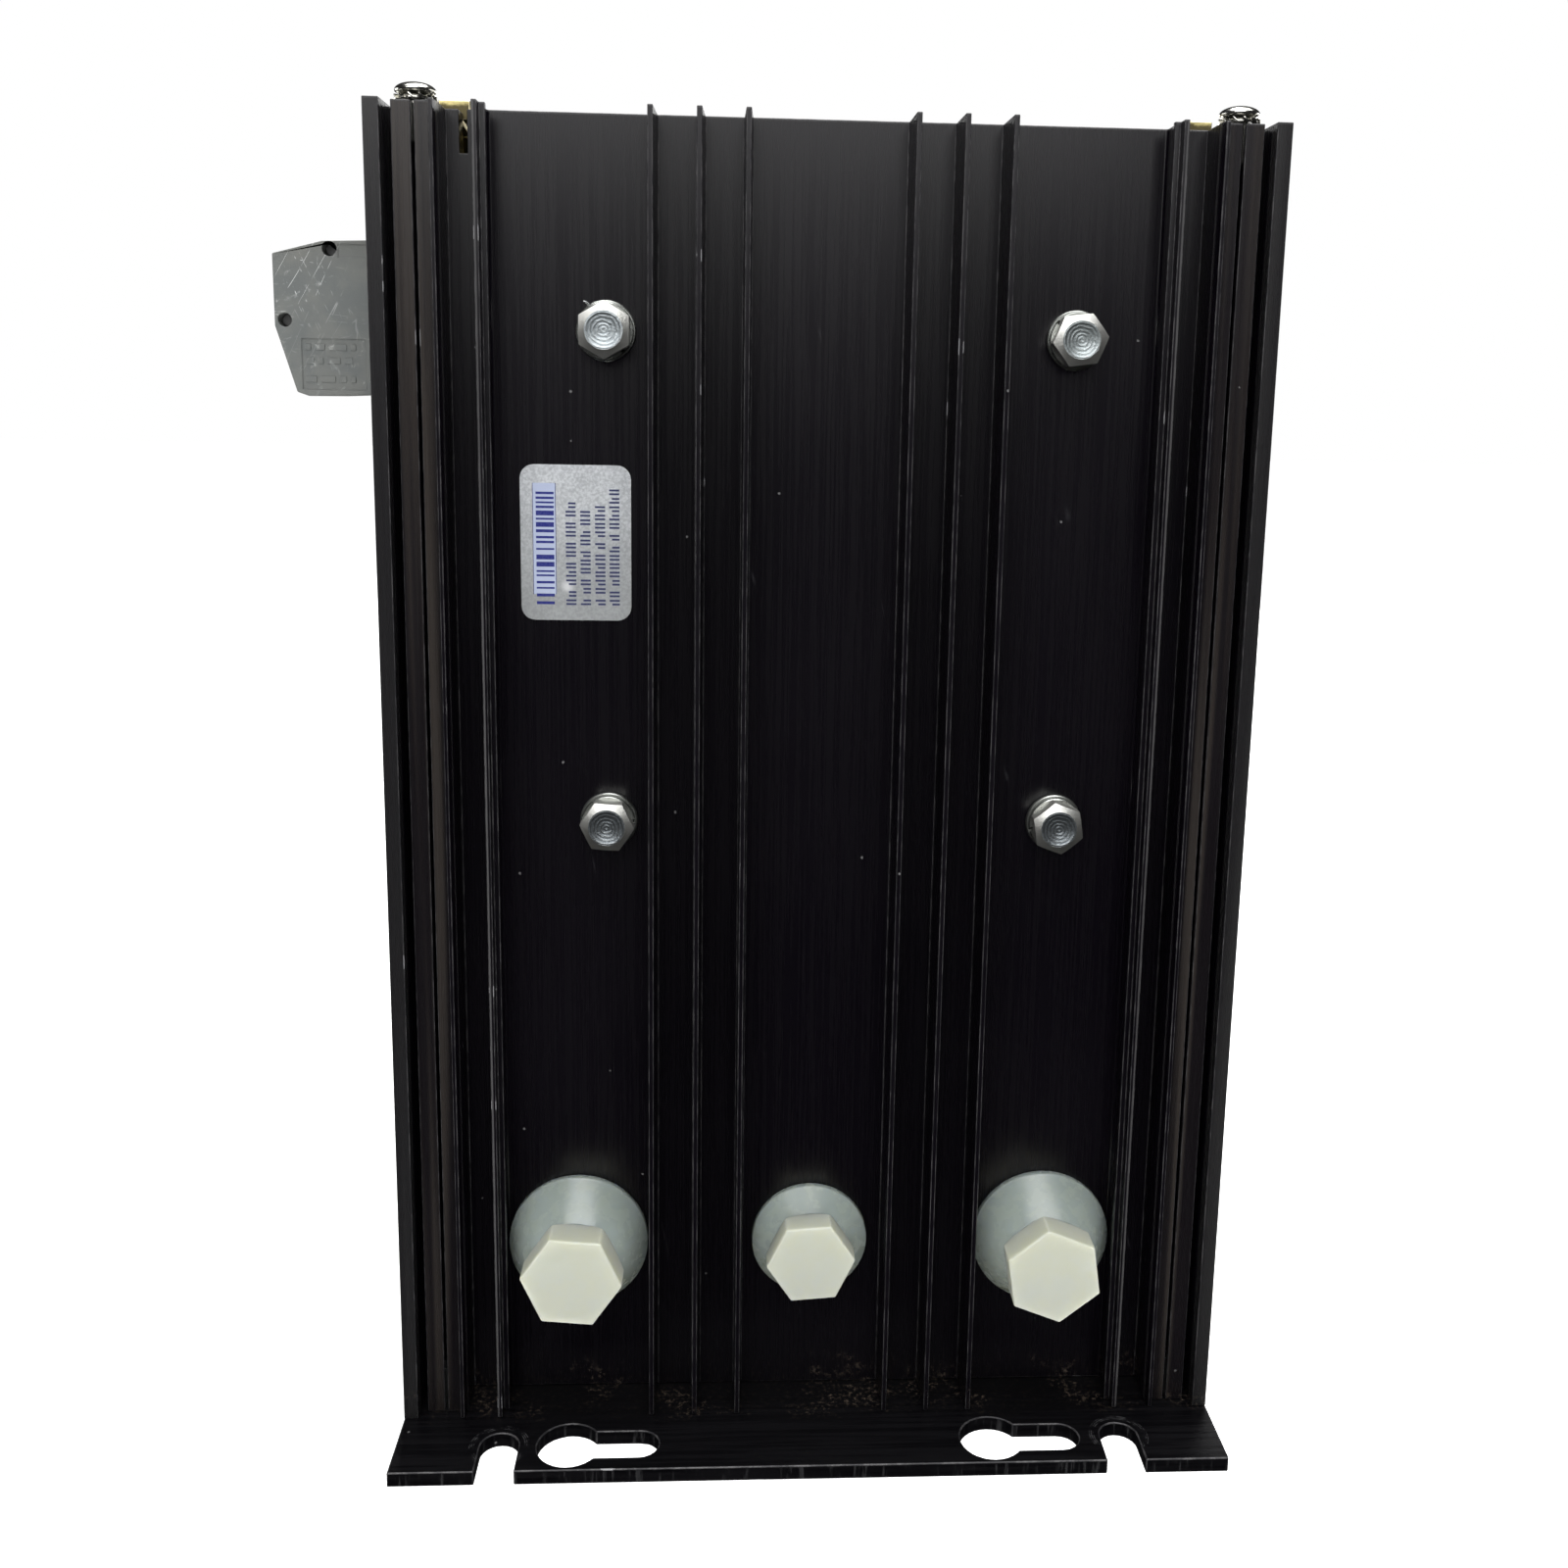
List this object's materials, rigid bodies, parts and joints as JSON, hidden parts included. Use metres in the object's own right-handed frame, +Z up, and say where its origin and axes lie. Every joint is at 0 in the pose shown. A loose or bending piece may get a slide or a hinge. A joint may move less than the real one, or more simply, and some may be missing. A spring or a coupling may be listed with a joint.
{
  "type": "solid state relay",
  "caption": "Solid state relay on a finned black heat sink with a slotted base plate, plastic and steel hexagon screws, a rear cover and screw terminals at the left side.",
  "frame": {"origin": "middle of the base plate's underside", "axes": "+Z up along the heat sink, -Y out of the finned front, -X towards the terminals"},
  "size_m": [0.2068, 0.1096, 0.2862],
  "materials": {
    "black_anodising": "black anodised extrusion, satin",
    "zinc_plate": "bright zinc plate",
    "nickel_plate": "bright nickel plate",
    "screw_nylon": "natural nylon, satin",
    "collar_nylon": "translucent natural nylon, smooth",
    "silver_foil": "printed silver foil, satin",
    "yellow_chromate": "yellow chromate on zinc",
    "grey_thermoplastic": "moulded, fine grain",
    "plated_brass": "tinned brass",
    "black_moulding": "moulded epoxy case",
    "enamelled_winding": "enamelled copper wire, varnished",
    "circuit_board": "solder mask"
  },
  "bodies": {
    "relay": {"heatsink": "black_anodising", "base_plate": "black_anodising", "base_screw_1": "zinc_plate", "base_screw_2": "zinc_plate", "base_screw_3": "zinc_plate", "base_screw_4": "zinc_plate", "flat_washer_left_low": "zinc_plate", "spring_washer_left_low": "zinc_plate", "hex_screw_left_low": "zinc_plate", "flat_washer_left_high": "zinc_plate", "spring_washer_left_high": "zinc_plate", "hex_screw_left_high": "zinc_plate", "flat_washer_right_low": "zinc_plate", "spring_washer_right_low": "zinc_plate", "hex_screw_right_low": "zinc_plate", "flat_washer_right_high": "zinc_plate", "spring_washer_right_high": "zinc_plate", "hex_screw_right_high": "zinc_plate", "nylon_collar_left": "collar_nylon", "nylon_screw_left": "screw_nylon", "choke_left": "enamelled_winding", "choke_nut_left": "screw_nylon", "nylon_collar_middle": "collar_nylon", "nylon_screw_middle": "screw_nylon", "choke_middle": "enamelled_winding", "choke_nut_middle": "screw_nylon", "nylon_collar_right": "collar_nylon", "nylon_screw_right": "screw_nylon", "choke_right": "enamelled_winding", "choke_nut_right": "screw_nylon", "toothed_washer_left": "zinc_plate", "end_screw_left": "nickel_plate", "toothed_washer_right": "zinc_plate", "end_screw_right": "nickel_plate", "label": "silver_foil", "terminal_housing_1": "grey_thermoplastic", "terminal_bar_1": "plated_brass", "terminal_housing_2": "grey_thermoplastic", "terminal_bar_2": "plated_brass", "terminal_housing_3": "grey_thermoplastic", "terminal_bar_3": "plated_brass", "terminal_housing_4": "grey_thermoplastic", "terminal_bar_4": "plated_brass", "cover": "yellow_chromate", "cover_screw_left_low": "zinc_plate", "cover_screw_left_high": "zinc_plate", "cover_screw_right_low": "zinc_plate", "cover_screw_right_high": "zinc_plate", "power_module_left": "black_moulding", "power_module_right": "black_moulding", "trigger_board": "circuit_board", "pulse_transformer": "black_moulding"},
    "clamp_screw_1": {"terminal_screw_1": "zinc_plate"},
    "clamp_cage_1": {"terminal_cage_1": "plated_brass"},
    "clamp_screw_2": {"terminal_screw_2": "zinc_plate"},
    "clamp_cage_2": {"terminal_cage_2": "plated_brass"},
    "clamp_screw_3": {"terminal_screw_3": "zinc_plate"},
    "clamp_cage_3": {"terminal_cage_3": "plated_brass"},
    "clamp_screw_4": {"terminal_screw_4": "zinc_plate"},
    "clamp_cage_4": {"terminal_cage_4": "plated_brass"}
  },
  "joints": [
    {"name": "clamp_screw_1_turn", "type": "hinge", "parent": "relay", "child": "clamp_screw_1", "pos_m": [-0.1079, -0.00997, 0.2495], "axis": [0, 0, -1], "range_deg": [0, 1700]},
    {"name": "clamp_cage_1_rise", "type": "slide", "parent": "relay", "child": "clamp_cage_1", "axis": [0, 0, 1], "range_m": [0, 0.0033]},
    {"name": "clamp_screw_2_turn", "type": "hinge", "parent": "relay", "child": "clamp_screw_2", "pos_m": [-0.1079, -0.00178, 0.2495], "axis": [0, 0, -1], "range_deg": [0, 1700]},
    {"name": "clamp_cage_2_rise", "type": "slide", "parent": "relay", "child": "clamp_cage_2", "axis": [0, 0, 1], "range_m": [0, 0.0033]},
    {"name": "clamp_screw_3_turn", "type": "hinge", "parent": "relay", "child": "clamp_screw_3", "pos_m": [-0.1079, 0.00643, 0.2495], "axis": [0, 0, -1], "range_deg": [0, 1700]},
    {"name": "clamp_cage_3_rise", "type": "slide", "parent": "relay", "child": "clamp_cage_3", "axis": [0, 0, 1], "range_m": [0, 0.0033]},
    {"name": "clamp_screw_4_turn", "type": "hinge", "parent": "relay", "child": "clamp_screw_4", "pos_m": [-0.1079, 0.01463, 0.2495], "axis": [0, 0, -1], "range_deg": [0, 1700]},
    {"name": "clamp_cage_4_rise", "type": "slide", "parent": "relay", "child": "clamp_cage_4", "axis": [0, 0, 1], "range_m": [0, 0.0033]}
  ],
  "couplings": [
    {"joint": "clamp_screw_1_turn", "follows": "clamp_cage_1_rise", "rad_per_m": 8976},
    {"joint": "clamp_screw_2_turn", "follows": "clamp_cage_2_rise", "rad_per_m": 8976},
    {"joint": "clamp_screw_3_turn", "follows": "clamp_cage_3_rise", "rad_per_m": 8976},
    {"joint": "clamp_screw_4_turn", "follows": "clamp_cage_4_rise", "rad_per_m": 8976}
  ]
}
